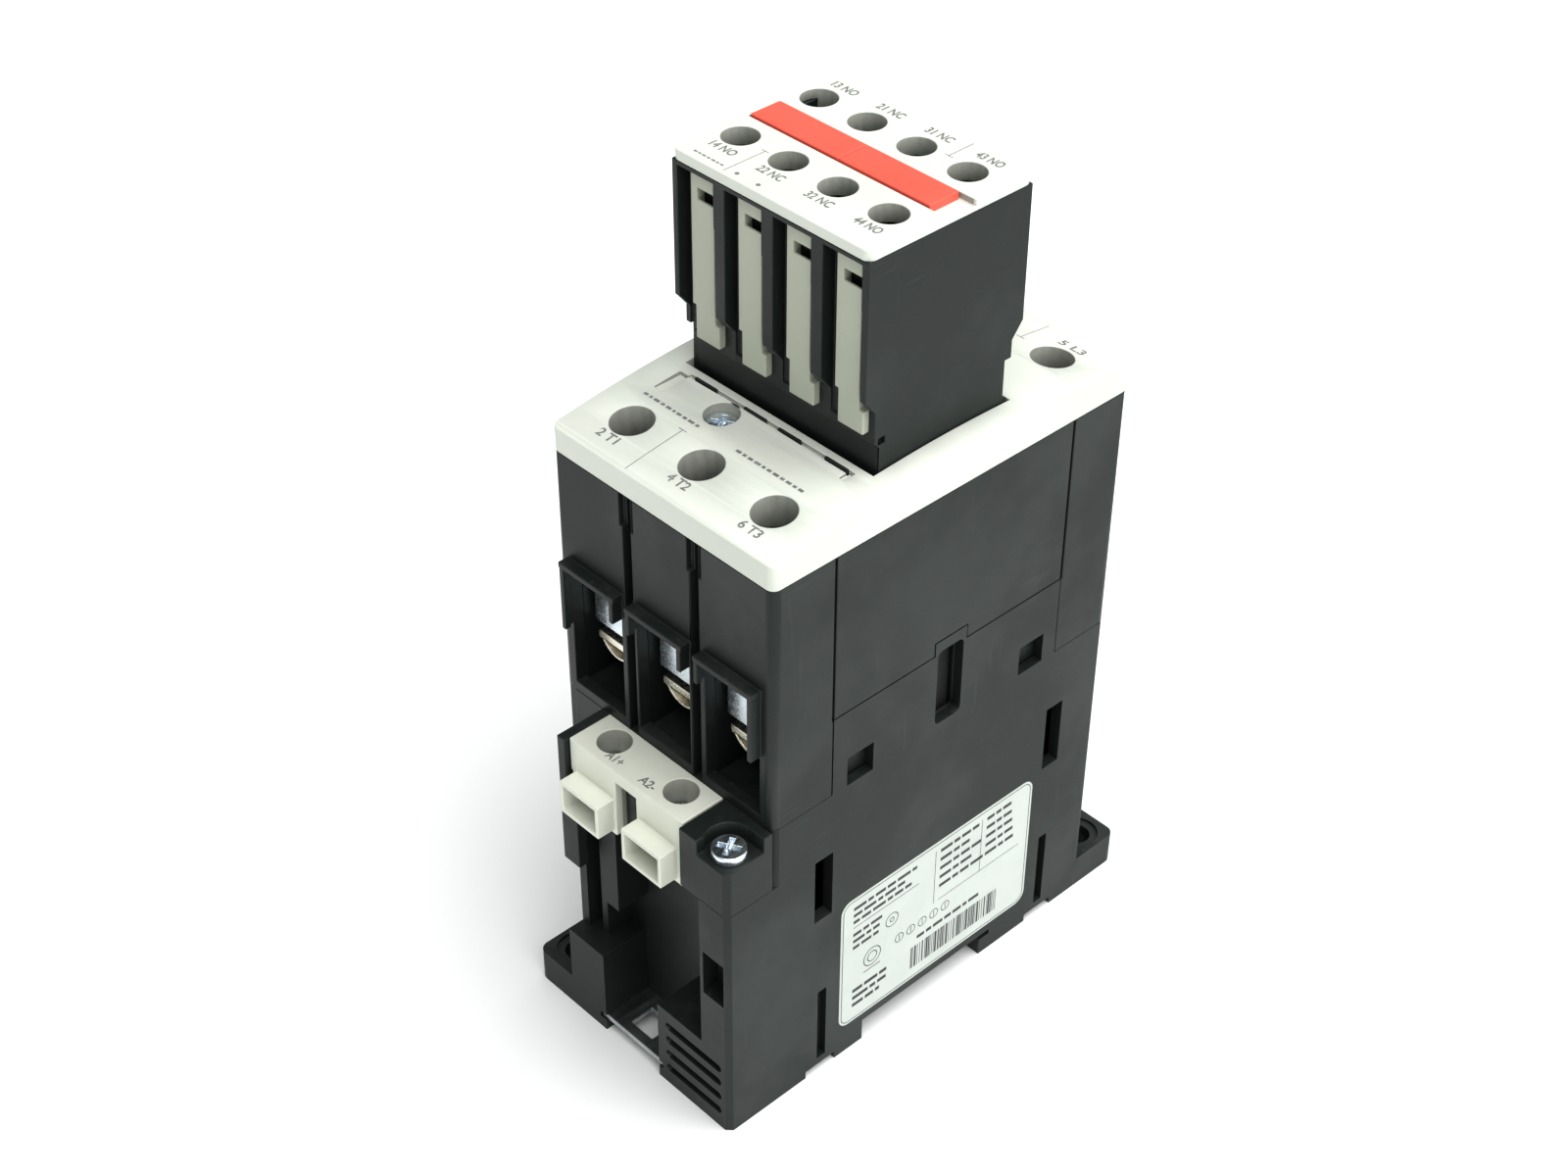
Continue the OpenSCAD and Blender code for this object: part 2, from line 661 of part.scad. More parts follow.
// Fixed contact strip of one auxiliary terminal: end side s, contact height z.
module aux_strip(x, s, z, y_in) {
  box(x - 2, x + 2, s < 0 ? -13.6 : y_in, s < 0 ? -y_in : 13.6, z, z + 1);
  box(x - 2, x + 2, s < 0 ? -13.6 : 12.6, s < 0 ? -12.6 : 13.6, z, 157);
  box(x - 2, x + 2, s < 0 ? -13.6 : 8, s < 0 ? -5 : 13.6, 156, 157);
}

module aux_fixed_contacts() color([0.8, 0.68, 0.42]) difference() {
  for (s = [-1, 1]) {
    for (i = [0, 3]) aux_strip(-ax + (i + 0.5) * cell, s, 133, 5);
    for (i = [1, 2]) aux_strip(-ax + (i + 0.5) * cell, s, 150, 5);
  }
  for (i = [0 : 3]) {
    rod(-ax + (i + 0.5) * cell - 0.8, front_hole_y, 155, 158, 1.3);
    rod(-ax + (i + 0.5) * cell - 1.6, rear_hole_y, 155, 158, 1.3);
  }
}

// One auxiliary terminal screw.
module aux_screw(x, y) {
  difference() {
    union() {
      rod(x, y, 158, 160, 2.6);
      rod(x, y, 153, 158.5, 1.25);
    }
    cross_cut(x, y, 160.1, 3.4, 0.7, 1.2);
  }
}

module aux_terminal_screws() color([0.75, 0.77, 0.8])
  for (i = [0 : 3]) {
    aux_screw(-ax + (i + 0.5) * cell - 0.8, front_hole_y);
    aux_screw(-ax + (i + 0.5) * cell - 1.6, rear_hole_y);
  }

// Square clamp washer under one auxiliary screw.
module aux_clamp(x, y) {
  difference() {
    box(x - 2.4, x + 2.4, y - 2.4, y + 2.4, 157, 158);
    rod(x, y, 156, 159, 1.3);
  }
}

module aux_terminal_clamps() color([0.7, 0.71, 0.72])
  for (i = [0 : 3]) {
    aux_clamp(-ax + (i + 0.5) * cell - 0.8, front_hole_y);
    aux_clamp(-ax + (i + 0.5) * cell - 1.6, rear_hole_y);
  }

base_housing();
upper_housing();
terminal_frames();
front_plate();
plate_screw();
housing_screw_front();
housing_screw_rear();
rating_label();
magnet_cushion();
magnet_yoke();
coil_bobbin();
coil_winding();
return_springs();
armature();
contact_carrier();
contact_t1();
contact_t2();
contact_t3();
contact_l1();
contact_l2();
contact_l3();
fixed_tips();
arc_plates();
bridge_1();
bridge_2();
bridge_3();
bridge_spring_1();
bridge_spring_2();
bridge_spring_3();
screw_t1();
screw_t2();
screw_t3();
screw_l1();
screw_l2();
screw_l3();
clamp_t1();
clamp_t2();
clamp_t3();
clamp_l1();
clamp_l2();
clamp_l3();
coil_terminal_block();
coil_contact_bars();
coil_screw_a1();
coil_screw_a2();
coil_clamp_a1();
coil_clamp_a2();
rail_latch();
aux_housing();
aux_cover();
aux_marker_left();
aux_marker_right();
aux_panels_front();
aux_panels_rear();
aux_slider();
aux_bridges();
aux_springs();
aux_fixed_contacts();
aux_terminal_screws();
aux_terminal_clamps();
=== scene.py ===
# %% [markdown]
# # A rail-mounted contactor with an auxiliary switch block
# The object is an electrical contactor: a charcoal plastic case that holds a coil, a moving
# armature and three power contacts, with a pale cover plate, and a small four-pole auxiliary
# switch clipped on top. The mechanical shapes come ready-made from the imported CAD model. This
# lesson gives them their finishes, rounds their edges, winds their springs and prints their
# markings.

# %% Load the frame
import math

import bmesh
import bpy
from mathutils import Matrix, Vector
from mathutils.bvhtree import BVHTree


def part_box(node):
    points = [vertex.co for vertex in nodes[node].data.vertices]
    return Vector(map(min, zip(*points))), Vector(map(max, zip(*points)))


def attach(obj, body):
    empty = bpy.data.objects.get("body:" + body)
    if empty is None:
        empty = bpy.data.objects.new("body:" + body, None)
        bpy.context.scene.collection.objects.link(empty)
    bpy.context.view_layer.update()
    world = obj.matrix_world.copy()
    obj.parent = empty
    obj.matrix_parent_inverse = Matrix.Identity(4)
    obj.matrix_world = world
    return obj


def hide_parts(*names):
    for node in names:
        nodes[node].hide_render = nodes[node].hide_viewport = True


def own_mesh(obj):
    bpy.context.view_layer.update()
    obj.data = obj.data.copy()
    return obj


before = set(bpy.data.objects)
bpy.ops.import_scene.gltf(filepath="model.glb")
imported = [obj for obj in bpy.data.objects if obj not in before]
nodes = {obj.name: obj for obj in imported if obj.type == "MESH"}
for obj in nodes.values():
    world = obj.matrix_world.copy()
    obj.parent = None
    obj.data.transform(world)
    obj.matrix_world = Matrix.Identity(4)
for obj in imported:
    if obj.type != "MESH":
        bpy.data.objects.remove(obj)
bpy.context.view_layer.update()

MM = 0.001

# %% [markdown]
# ## Camera
# The view looks down on the front right corner of the case from a bit less than half a metre,
# with a slightly long lens, so that the top, the front and the right side all show. The camera is
# placed from three angles and a distance, which is easier to reason about than a matrix.

# %% Camera
AIM = Vector((-15.08, 0.0, 74.781)) * MM
TURN, TILT, ROLL = math.radians(46.4842), math.radians(38.1952), math.radians(0.373)
DISTANCE = 0.484541
LENS = 59.488


def add_camera():
    """Camera at DISTANCE from AIM, TURN round from the front and TILT up, tipped by ROLL."""
    back = Vector((math.sin(TURN) * math.cos(TILT), -math.cos(TURN) * math.cos(TILT), math.sin(TILT)))
    right = Vector((0, 0, 1)).cross(back).normalized()
    up = back.cross(right)
    tipped_right = right * math.cos(ROLL) + up * math.sin(ROLL)
    tipped_up = up * math.cos(ROLL) - right * math.sin(ROLL)
    data = bpy.data.cameras.new("camera")
    data.lens, data.sensor_width, data.sensor_fit = LENS, 36.0, "HORIZONTAL"
    data.clip_start, data.clip_end = 0.01, 50.0
    camera = bpy.data.objects.new("camera", data)
    bpy.context.scene.collection.objects.link(camera)
    where = AIM + back * DISTANCE
    for i in range(3):
        camera.matrix_world[i] = (tipped_right[i], tipped_up[i], back[i], where[i])
    bpy.context.scene.camera = camera
    return camera


print("camera at", [round(v, 3) for v in add_camera().location])

# %% [markdown]
# ## Floor and light
# The object stands on a white sheet. A very wide sun, high up and a little to the right, lights
# the tops more than the sides, and the white floor and an even pale world fill in the rest. So
# the shadows are faint, the hollows stay dark and the black plastic shows a broad grey sheen. A
# weak round lamp at the side adds a little to that sheen. The floor is a single large square,
# because nothing else of it shows.

# %% Floor, world and lamps
FLOOR_HALF = 4.0
SKY = 0.36
SUN = 3.9


def add_floor():
    mesh = bpy.data.meshes.new("floor")
    h = FLOOR_HALF
    mesh.from_pydata([(-h, -h, 0), (h, -h, 0), (h, h, 0), (-h, h, 0)], [], [(0, 1, 2, 3)])
    floor = bpy.data.objects.new("floor", mesh)
    bpy.context.scene.collection.objects.link(floor)
    return floor


def add_lamp(name, kind, place, strength, **settings):
    """Lamp at place that points at the middle of the object."""
    data = bpy.data.lights.new(name, kind)
    data.energy = strength
    for key, value in settings.items():
        setattr(data, key, value)
    lamp = bpy.data.objects.new(name, data)
    lamp.location = place
    lamp.rotation_euler = (Vector((0, 0, 0.08)) - Vector(place)).to_track_quat("-Z", "Y").to_euler()
    bpy.context.scene.collection.objects.link(lamp)
    return lamp


floor = add_floor()
world = bpy.data.worlds.new("studio")
world.use_nodes = True
world.node_tree.nodes["Background"].inputs["Color"].default_value = (0.95, 1.0, 0.97, 1)
world.node_tree.nodes["Background"].inputs["Strength"].default_value = SKY
bpy.context.scene.world = world
bpy.context.scene.view_settings.view_transform = "Standard"
bpy.context.scene.view_settings.gamma = 0.82
add_lamp("wide_sun", "SUN", (0.6, 0.12, 1.5), SUN, angle=math.radians(75))
add_lamp("side_card", "AREA", (0.85, -0.35, 0.45), 1.0, shape="DISK", size=0.7)

# %% [markdown]
# ## Shader helpers
# Every finish is drawn by nodes. Wiring nodes by hand in text gets long, so a small helper class
# adds a node, sets its values and links its inputs in one line. A shared effect, such as mould
# grain, is a node group that is built once and placed in each material with its own values.

# %% Helper that wires nodes


class Wires:
    """Adds nodes to one node tree. A keyword or key that holds a socket is linked, else set."""

    def __init__(self, tree):
        self.tree = tree

    def add(self, kind, inputs=None, **settings):
        node = self.tree.nodes.new(kind)
        for key, value in settings.items():
            setattr(node, key, value)
        for key, value in (inputs or {}).items():
            if isinstance(value, bpy.types.NodeSocket):
                self.tree.links.new(value, node.inputs[key])
            else:
                node.inputs[key].default_value = value
        return node

    def math(self, operation, a, b=0.0, clamp=False):
        return self.add("ShaderNodeMath", {0: a, 1: b}, operation=operation, use_clamp=clamp).outputs[0]

    def ramp(self, value, low, high, out_low=0.0, out_high=1.0):
        node = self.add("ShaderNodeMapRange", {0: value, 1: low, 2: high, 3: out_low, 4: out_high},
                        interpolation_type="SMOOTHSTEP")
        return node.outputs[0]

    def noise(self, where, scale, detail=2.0, roughness=0.5, stretch=None):
        if stretch:
            scaled = self.add("ShaderNodeVectorMath", {0: where, 1: stretch}, operation="MULTIPLY")
            where = scaled.outputs[0]
        sockets = {"Vector": where, "Scale": scale, "Detail": detail, "Roughness": roughness}
        return self.add("ShaderNodeTexNoise", sockets).outputs["Fac"]

    def blend(self, amount, a, b):
        node = self.add("ShaderNodeMix", data_type="RGBA", clamp_result=True)
        for key, value in ((0, amount), (6, a), (7, b)):
            if isinstance(value, bpy.types.NodeSocket):
                self.tree.links.new(value, node.inputs[key])
            else:
                node.inputs[key].default_value = value
        return node.outputs[2]


def shader_group(name, inputs, outputs, build):
    """Node group with float inputs {name: start value} and outputs {name: socket type}."""
    tree = bpy.data.node_groups.new(name, "ShaderNodeTree")
    for key, start in inputs.items():
        socket = tree.interface.new_socket(name=key, in_out="INPUT", socket_type="NodeSocketFloat")
        socket.default_value = start
    for key, kind in outputs.items():
        tree.interface.new_socket(name=key, in_out="OUTPUT", socket_type=kind)
    wires = Wires(tree)
    source = wires.add("NodeGroupInput")
    result = build(wires, source.outputs, wires.add("ShaderNodeTexCoord").outputs["Object"])
    sink = wires.add("NodeGroupOutput")
    for key, socket in result.items():
        tree.links.new(socket, sink.inputs[key])
    print("group", name, list(inputs), "->", list(outputs))
    return tree


# %% [markdown]
# ## Mould grain
# Moulded plastic is never quite smooth. The steel mould is spark eroded, which leaves a fine even
# pebble of a few tenths of a millimetre, and handling adds wide soft patches that are a little
# greyer and shinier. One group gives the pebble as a height and the patches as a mask.

# %% Group: mould grain
FLOAT = "NodeSocketFloat"


def build_grain(w, given, where):
    pebble = w.noise(where, given["Grain Scale"], 3.0, 0.6)
    fine = w.noise(where, w.math("MULTIPLY", given["Grain Scale"], 2.7), 2.0, 0.5)
    height = w.math("ADD", pebble, w.math("MULTIPLY", fine, 0.5))
    patch = w.ramp(w.noise(where, 26.0, 4.0, 0.62), 0.38, 0.68)
    speck = w.ramp(w.noise(where, 1400.0, 1.0, 0.5), 0.66, 0.80)
    return {"Height": height, "Patch": patch, "Speck": speck}


mould_grain = shader_group("mould_grain", {"Grain Scale": 2600.0},
                           {"Height": FLOAT, "Patch": FLOAT, "Speck": FLOAT}, build_grain)

# %% [markdown]
# ## Edge wear and painted highlight
# Corners are rubbed paler by handling, and the same pale edge is also a painted highlight, the
# light caught by a rounded edge. A bevelled normal differs from the true one only near an edge, so
# the difference between the two is a mask of the edges. Noise breaks it up, because wear is never
# even.

# %% Group: edge wear and painted highlight


def build_rubbed_and_lit_edges(w, given, where):
    soft = w.add("ShaderNodeBevel", {"Radius": given["Radius"]}, samples=4).outputs[0]
    true = w.add("ShaderNodeNewGeometry").outputs["Normal"]
    same = w.add("ShaderNodeVectorMath", {0: soft, 1: true}, operation="DOT_PRODUCT").outputs["Value"]
    edge = w.ramp(same, 0.985, 0.80)
    broken = w.ramp(w.noise(where, 420.0, 3.0, 0.6), 0.30, 0.75, 0.25, 1.0)
    mask = w.math("MULTIPLY", w.math("MULTIPLY", edge, broken), given["Amount"], clamp=True)
    return {"Mask": mask}


rubbed_and_lit_edges = shader_group("rubbed_and_lit_edges", {"Radius": 0.0004, "Amount": 0.5}, {"Mask": FLOAT}, build_rubbed_and_lit_edges)

# %% [markdown]
# ## Settled dust
# Fine dust lies on faces that look up and gathers a little unevenly. The mask grows with the
# upward part of the normal and is broken by two sizes of noise.

# %% Group: settled dust


def build_dust(w, given, where):
    normal = w.add("ShaderNodeNewGeometry").outputs["Normal"]
    up = w.add("ShaderNodeSeparateXYZ", {0: normal}).outputs["Z"]
    lying = w.ramp(up, 0.45, 0.95)
    cloud = w.ramp(w.noise(where, 60.0, 5.0, 0.7), 0.40, 0.72)
    fleck = w.ramp(w.noise(where, 900.0, 2.0, 0.6), 0.62, 0.74)
    both = w.math("ADD", w.math("MULTIPLY", cloud, 0.55), w.math("MULTIPLY", fleck, 0.45))
    return {"Mask": w.math("MULTIPLY", w.math("MULTIPLY", lying, both), given["Amount"], clamp=True)}


settled_dust = shader_group("settled_dust", {"Amount": 0.3}, {"Mask": FLOAT}, build_dust)

# %% [markdown]
# ## Rub marks
# Large flat sides slide against boxes and benches, which leaves fine pale streaks in bundles.
# Noise stretched far along one direction makes the streaks, and a wide noise chooses where
# they lie.

# %% Group: rub marks


def build_rubs(w, given, where):
    streak = w.noise(where, 900.0, 2.0, 0.6, (0.5, 0.06, 1.0))
    slant = w.noise(where, 700.0, 2.0, 0.6, (0.5, 1.0, 0.07))
    place = w.ramp(w.noise(where, 34.0, 3.0, 0.6), 0.50, 0.66)
    lines = w.math("MAXIMUM", w.ramp(streak, 0.62, 0.70), w.ramp(slant, 0.64, 0.72))
    return {"Mask": w.math("MULTIPLY", w.math("MULTIPLY", lines, place), given["Amount"], clamp=True)}


rub_marks = shader_group("rub_marks", {"Amount": 0.4}, {"Mask": FLOAT}, build_rubs)

# %% [markdown]
# ## Painted bore shade
# Bores and deep gaps are painted greyer than open faces: a painted shade for the dark inside them.
# The mask takes faces that look sideways and lie inside a margin from the outer walls. The
# auxiliary cover is smaller than the lower one, so the margin shrinks with height.

# %% Group: painted bore shade


def build_painted_bore_shade(w, given, where):
    place = w.add("ShaderNodeSeparateXYZ", {0: where}).outputs
    normal = w.add("ShaderNodeNewGeometry").outputs["Normal"]
    sideways = w.ramp(w.add("ShaderNodeSeparateXYZ", {0: normal}).outputs["Z"], 0.75, 0.25)
    reach = w.ramp(place["Z"], 0.150, 0.160, given["Reach Y"], 0.0172)
    across = w.math("LESS_THAN", w.math("ABSOLUTE", place["X"]), given["Reach X"])
    along = w.math("LESS_THAN", w.math("ABSOLUTE", place["Y"]), reach)
    inside = w.math("MULTIPLY", w.math("MULTIPLY", across, along), sideways)
    uneven = w.ramp(w.noise(where, 300.0, 3.0, 0.6), 0.2, 0.8, 0.82, 1.0)
    return {"Mask": w.math("MULTIPLY", w.math("MULTIPLY", inside, uneven), given["Amount"], clamp=True)}


painted_bore_shade = shader_group("painted_bore_shade", {"Reach X": 0.022, "Reach Y": 0.039, "Amount": 0.7},
                          {"Mask": FLOAT}, build_painted_bore_shade)

# %% [markdown]
# ## Moulded plastics
# The case is charcoal, the cover plates are warm white, the coil terminal block is a greyer
# white, the wire covers grey-beige and the position flags coral. They are all the same kind of
# finish, so one function builds each from its own colours and amounts.

# %% Plastic finishes
finishes = {}


def new_finish(name):
    """Starts a material; gives back its wires, its surface shader and the object coordinates."""
    material = bpy.data.materials.new(name)
    material.use_nodes = True
    wires = Wires(material.node_tree)
    surface = material.node_tree.nodes["Principled BSDF"]
    where = wires.add("ShaderNodeTexCoord").outputs["Object"]
    finishes[name] = material
    return wires, surface, where


def use_group(wires, tree, **values):
    node = wires.add("ShaderNodeGroup", node_tree=tree)
    for key, value in values.items():
        node.inputs[key.replace("_", " ")].default_value = value
    return node.outputs


def plug(wires, surface, **sockets):
    for key, socket in sockets.items():
        wires.tree.links.new(socket, surface.inputs[key.replace("_", " ")])


def rgb(*values):
    return tuple(values) + (1.0,)


def plastic(name, colour, patch, worn_and_lit_tone, rough, grain=2600.0, depth=0.00002, wear=0.5, radius=0.0004,
            dust=0.25, dust_colour=(0.45, 0.44, 0.41), rubs=0.0, painted_shade_reach=None):
    """Moulded plastic: a base colour with wide patches, worn edges that are also a painted highlight,
    dust, rub marks and painted shade in bores.
    """
    w, surface, _ = new_finish(name)
    grains = use_group(w, mould_grain, Grain_Scale=grain)
    edges = use_group(w, rubbed_and_lit_edges, Radius=radius, Amount=wear)
    dusty = use_group(w, settled_dust, Amount=dust)
    tone = w.blend(w.math("MULTIPLY", grains["Patch"], 0.8), rgb(*colour), rgb(*patch))
    tone = w.blend(w.math("MULTIPLY", grains["Speck"], 0.18), tone, rgb(*worn_and_lit_tone))
    # Pale edges: rubbed wear, and a painted highlight along the rounded edges.
    tone = w.blend(edges["Mask"], tone, rgb(*worn_and_lit_tone))
    if rubs:
        tone = w.blend(use_group(w, rub_marks, Amount=rubs)["Mask"], tone, rgb(*worn_and_lit_tone))
    tone = w.blend(dusty["Mask"], tone, rgb(*dust_colour))
    # Painted shade: walls of bores and deep gaps darkened towards a warm grey.
    if painted_shade_reach:
        shade = use_group(w, painted_bore_shade, Reach_X=painted_shade_reach[0], Reach_Y=painted_shade_reach[1], Amount=painted_shade_reach[2])
        tone = w.blend(shade["Mask"], tone, rgb(0.13, 0.13, 0.108))
    gloss = w.ramp(grains["Patch"], 0.0, 1.0, rough + 0.05, rough - 0.07)
    gloss = w.math("ADD", gloss, w.math("MULTIPLY", dusty["Mask"], 0.3))
    bump = w.add("ShaderNodeBump", {"Height": grains["Height"], "Strength": 0.55, "Distance": depth})
    plug(w, surface, Base_Color=tone, Roughness=gloss, Normal=bump.outputs[0])


plastic("housing_plastic", (0.0120, 0.0170, 0.0155), (0.017, 0.023, 0.021), (0.075, 0.083, 0.079), 0.46,
        depth=0.00003, wear=0.5, dust=0.10, rubs=0.16)
plastic("plate_plastic", (0.74, 0.755, 0.70), (0.69, 0.71, 0.65), (0.86, 0.86, 0.83), 0.42,
        wear=0.4, dust=0.10, dust_colour=(0.55, 0.54, 0.49), painted_shade_reach=(0.0222, 0.039, 0.62))
plastic("coil_block_plastic", (0.78, 0.79, 0.71), (0.73, 0.745, 0.66), (0.86, 0.86, 0.80), 0.40,
        wear=0.4, dust=0.12, dust_colour=(0.45, 0.44, 0.39), painted_shade_reach=(0.0136, 0.0508, 0.6))
plastic("panel_plastic", (0.50, 0.52, 0.44), (0.45, 0.47, 0.395), (0.58, 0.58, 0.53), 0.48,
        wear=0.4, dust=0.1, dust_colour=(0.36, 0.35, 0.31))
plastic("marker_plastic", (0.90, 0.15, 0.105), (0.86, 0.135, 0.09), (0.93, 0.30, 0.22), 0.36,
        wear=0.3, dust=0.08, dust_colour=(0.75, 0.45, 0.38))
plastic("inner_plastic", (0.034, 0.034, 0.037), (0.045, 0.045, 0.047), (0.14, 0.14, 0.14), 0.52, dust=0.05)
plastic("rubber", (0.022, 0.022, 0.022), (0.034, 0.033, 0.032), (0.09, 0.09, 0.088), 0.78,
        grain=1500.0, depth=0.00006, wear=0.4)
plastic_count = len(finishes)
print("plastics:", ", ".join(finishes))

# %% [markdown]
# ## Metals
# Rolling and drawing leave fine streaks in a metal, and plating clouds and pits a little. The
# streaks come from noise that is stretched along the direction of rolling or drawing. Every metal
# here has these marks, so they are one group.

# %% Group: drawn metal


def build_drawn(w, given, where):
    along = w.noise(where, given["Streak Scale"], 3.0, 0.6, (1.0, 0.08, 1.0))
    cloud = w.ramp(w.noise(where, 130.0, 4.0, 0.65), 0.35, 0.70)
    pit = w.ramp(w.noise(where, 2100.0, 1.0, 0.5), 0.68, 0.80)
    return {"Streak": along, "Cloud": cloud, "Pit": pit}


drawn_metal = shader_group("drawn_metal", {"Streak Scale": 1800.0},
                           {"Streak": FLOAT, "Cloud": FLOAT, "Pit": FLOAT}, build_drawn)

# %% [markdown]
# ## Metal finishes
# Screws and clamps are zinc plated and bright, with a cold blue cast. The magnet is a stack of thin
# steel sheets, so it shows even lines across its width. The contacts are copper plated with tin,
# which looks creamy white, with silver pads. One function builds them all from their colours.

# %% Metal finishes


def metal(name, colour, stain, rough, streak=1800.0, depth=0.00001, layers=0.0):
    """Bare or plated metal with streaks, cloudy stains and pits; layers adds a sheet pitch."""
    w, surface, where = new_finish(name)
    marks = use_group(w, drawn_metal, Streak_Scale=streak)
    edges = use_group(w, rubbed_and_lit_edges, Radius=0.0003, Amount=0.4)
    worn_lit_edge_tone = tuple(min(1.0, c * 1.15) for c in colour)
    tone = w.blend(w.math("MULTIPLY", marks["Cloud"], 0.6), rgb(*colour), rgb(*stain))
    tone = w.blend(w.math("MULTIPLY", marks["Pit"], 0.2), tone, rgb(*stain))
    # Edges 15 percent lighter: wear, and a painted highlight along the rounded edges.
    tone = w.blend(edges["Mask"], tone, rgb(*worn_lit_edge_tone))
    height = marks["Streak"]
    if layers:
        across = w.add("ShaderNodeSeparateXYZ", {0: where}).outputs["Y"]
        stripe = w.ramp(w.math("PINGPONG", w.math("DIVIDE", across, layers), 0.5), 0.03, 0.14)
        tone = w.blend(stripe, rgb(0.05, 0.045, 0.04), tone)
        height = w.math("ADD", height, w.math("MULTIPLY", stripe, 3.0))
    gloss = w.ramp(marks["Streak"], 0.25, 0.75, rough - 0.07, rough + 0.09)
    bump = w.add("ShaderNodeBump", {"Height": height, "Strength": 0.5, "Distance": depth})
    plug(w, surface, Base_Color=tone, Roughness=gloss, Normal=bump.outputs[0])
    surface.inputs["Metallic"].default_value = 1.0


metal("zinc_steel", (0.86, 0.92, 0.97), (0.70, 0.76, 0.82), 0.27, depth=0.000003)
metal("sheet_steel", (0.60, 0.62, 0.64), (0.42, 0.43, 0.44), 0.34, streak=900.0, depth=0.00002)
metal("spring_steel", (0.52, 0.53, 0.55), (0.36, 0.36, 0.37), 0.28, streak=2600.0)
metal("magnet_steel", (0.40, 0.41, 0.42), (0.25, 0.24, 0.23), 0.38, layers=0.0006, depth=0.00003)
metal("copper", (0.90, 0.86, 0.76), (0.72, 0.66, 0.55), 0.30, depth=0.000004)
metal("brass", (0.78, 0.62, 0.34), (0.58, 0.43, 0.22), 0.28)
metal("silver", (0.86, 0.85, 0.83), (0.60, 0.58, 0.54), 0.26)
print("metals:", len(finishes) - plastic_count)

# %% [markdown]
# ## Enamelled wire and label film
# The coil is wound from thin enamelled copper wire in level layers. Modelling thousands of turns
# would be heavy, so rounded ridges along the height, made from a repeated ramp, stand for the
# turns, and the narrow valleys between them are painted nearly black as painted shade between the
# wires. The label is white polyester film, a little glossier than plastic, faintly scuffed.

# %% Winding and film finishes
TURN_PITCH = 0.00032


def winding_finish():
    w, surface, where = new_finish("winding_copper")
    up = w.add("ShaderNodeSeparateXYZ", {0: where}).outputs["Z"]
    saw = w.math("PINGPONG", w.math("DIVIDE", up, TURN_PITCH), 0.5)
    ridge = w.ramp(saw, 0.0, 0.42)
    cloud = w.ramp(w.noise(where, 90.0, 4.0, 0.6), 0.35, 0.7)
    tone = w.blend(cloud, rgb(0.46, 0.17, 0.055), rgb(0.36, 0.12, 0.04))
    # Painted shade: the valleys between the ridges go nearly black.
    tone = w.blend(ridge, rgb(0.05, 0.02, 0.01), tone)
    gloss = w.ramp(cloud, 0.0, 1.0, 0.22, 0.34)
    bump = w.add("ShaderNodeBump", {"Height": ridge, "Strength": 0.9, "Distance": 0.0001})
    plug(w, surface, Base_Color=tone, Roughness=gloss, Normal=bump.outputs[0])
    surface.inputs["Metallic"].default_value = 0.6


def film_finish():
    w, surface, where = new_finish("label_film")
    cloud = w.ramp(w.noise(where, 70.0, 5.0, 0.6), 0.35, 0.7)
    scuffs = use_group(w, rub_marks, Amount=0.35)
    tone = w.blend(cloud, rgb(0.595, 0.63, 0.60), rgb(0.56, 0.595, 0.565))
    tone = w.blend(scuffs["Mask"], tone, rgb(0.52, 0.55, 0.53))
    gloss = w.ramp(cloud, 0.0, 1.0, 0.28, 0.38)
    height = w.noise(where, 500.0, 3.0, 0.6)
    bump = w.add("ShaderNodeBump", {"Height": height, "Strength": 0.3, "Distance": 0.00002})
    plug(w, surface, Base_Color=tone, Roughness=gloss, Normal=bump.outputs[0])


def ink_finish(name, colour, faded):
    w, surface, where = new_finish(name)
    patchy = w.ramp(w.noise(where, 1500.0, 3.0, 0.65), 0.38, 0.66)
    tone = w.blend(patchy, rgb(*colour), rgb(*faded))
    gloss = w.ramp(patchy, 0.0, 1.0, 0.42, 0.58)
    bump = w.add("ShaderNodeBump", {"Height": patchy, "Strength": 0.3, "Distance": 0.00001})
    plug(w, surface, Base_Color=tone, Roughness=gloss, Normal=bump.outputs[0])


winding_finish()
film_finish()
ink_finish("grey_ink", (0.20, 0.205, 0.20), (0.30, 0.305, 0.295))
ink_finish("black_ink", (0.035, 0.036, 0.036), (0.075, 0.076, 0.075))
print("all finishes:", len(finishes))

# %% [markdown]
# ## Floor finish
# A white paper sweep: nearly plain, with a very faint cloudiness, so the eye stays on the object.

# %% Floor finish
w, surface, where = new_finish("floor_paper")
cloud = w.ramp(w.noise(where, 3.0, 3.0, 0.5), 0.3, 0.7)
plug(w, surface, Base_Color=w.blend(cloud, rgb(0.90, 0.905, 0.90), rgb(0.885, 0.89, 0.885)),
     Roughness=w.ramp(cloud, 0.0, 1.0, 0.72, 0.8))
floor.data.materials.append(finishes["floor_paper"])

# %% [markdown]
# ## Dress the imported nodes
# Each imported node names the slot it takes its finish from, so the finish is looked up by that
# name. Sharp computer edges look false, since even a crisp moulding has a radius of a tenth or
# two of a millimetre. Weld joins the faces, then a Bevel limited by angle rounds the true edges
# only. Its width isn't clamped, because the short edges round each hole would shrink it to
# nothing, apart from the base, where it keeps the sides flat. The springs, the label and the
# smallest inner plates and tips stay as they are.

# %% Finishes and rounded edges on the nodes
EDGE = 0.0002
FINE_EDGE = 0.0001
NO_BEVEL = ("return_springs", "bridge_spring", "aux_springs", "rating_label", "fixed_tips", "arc_plates")


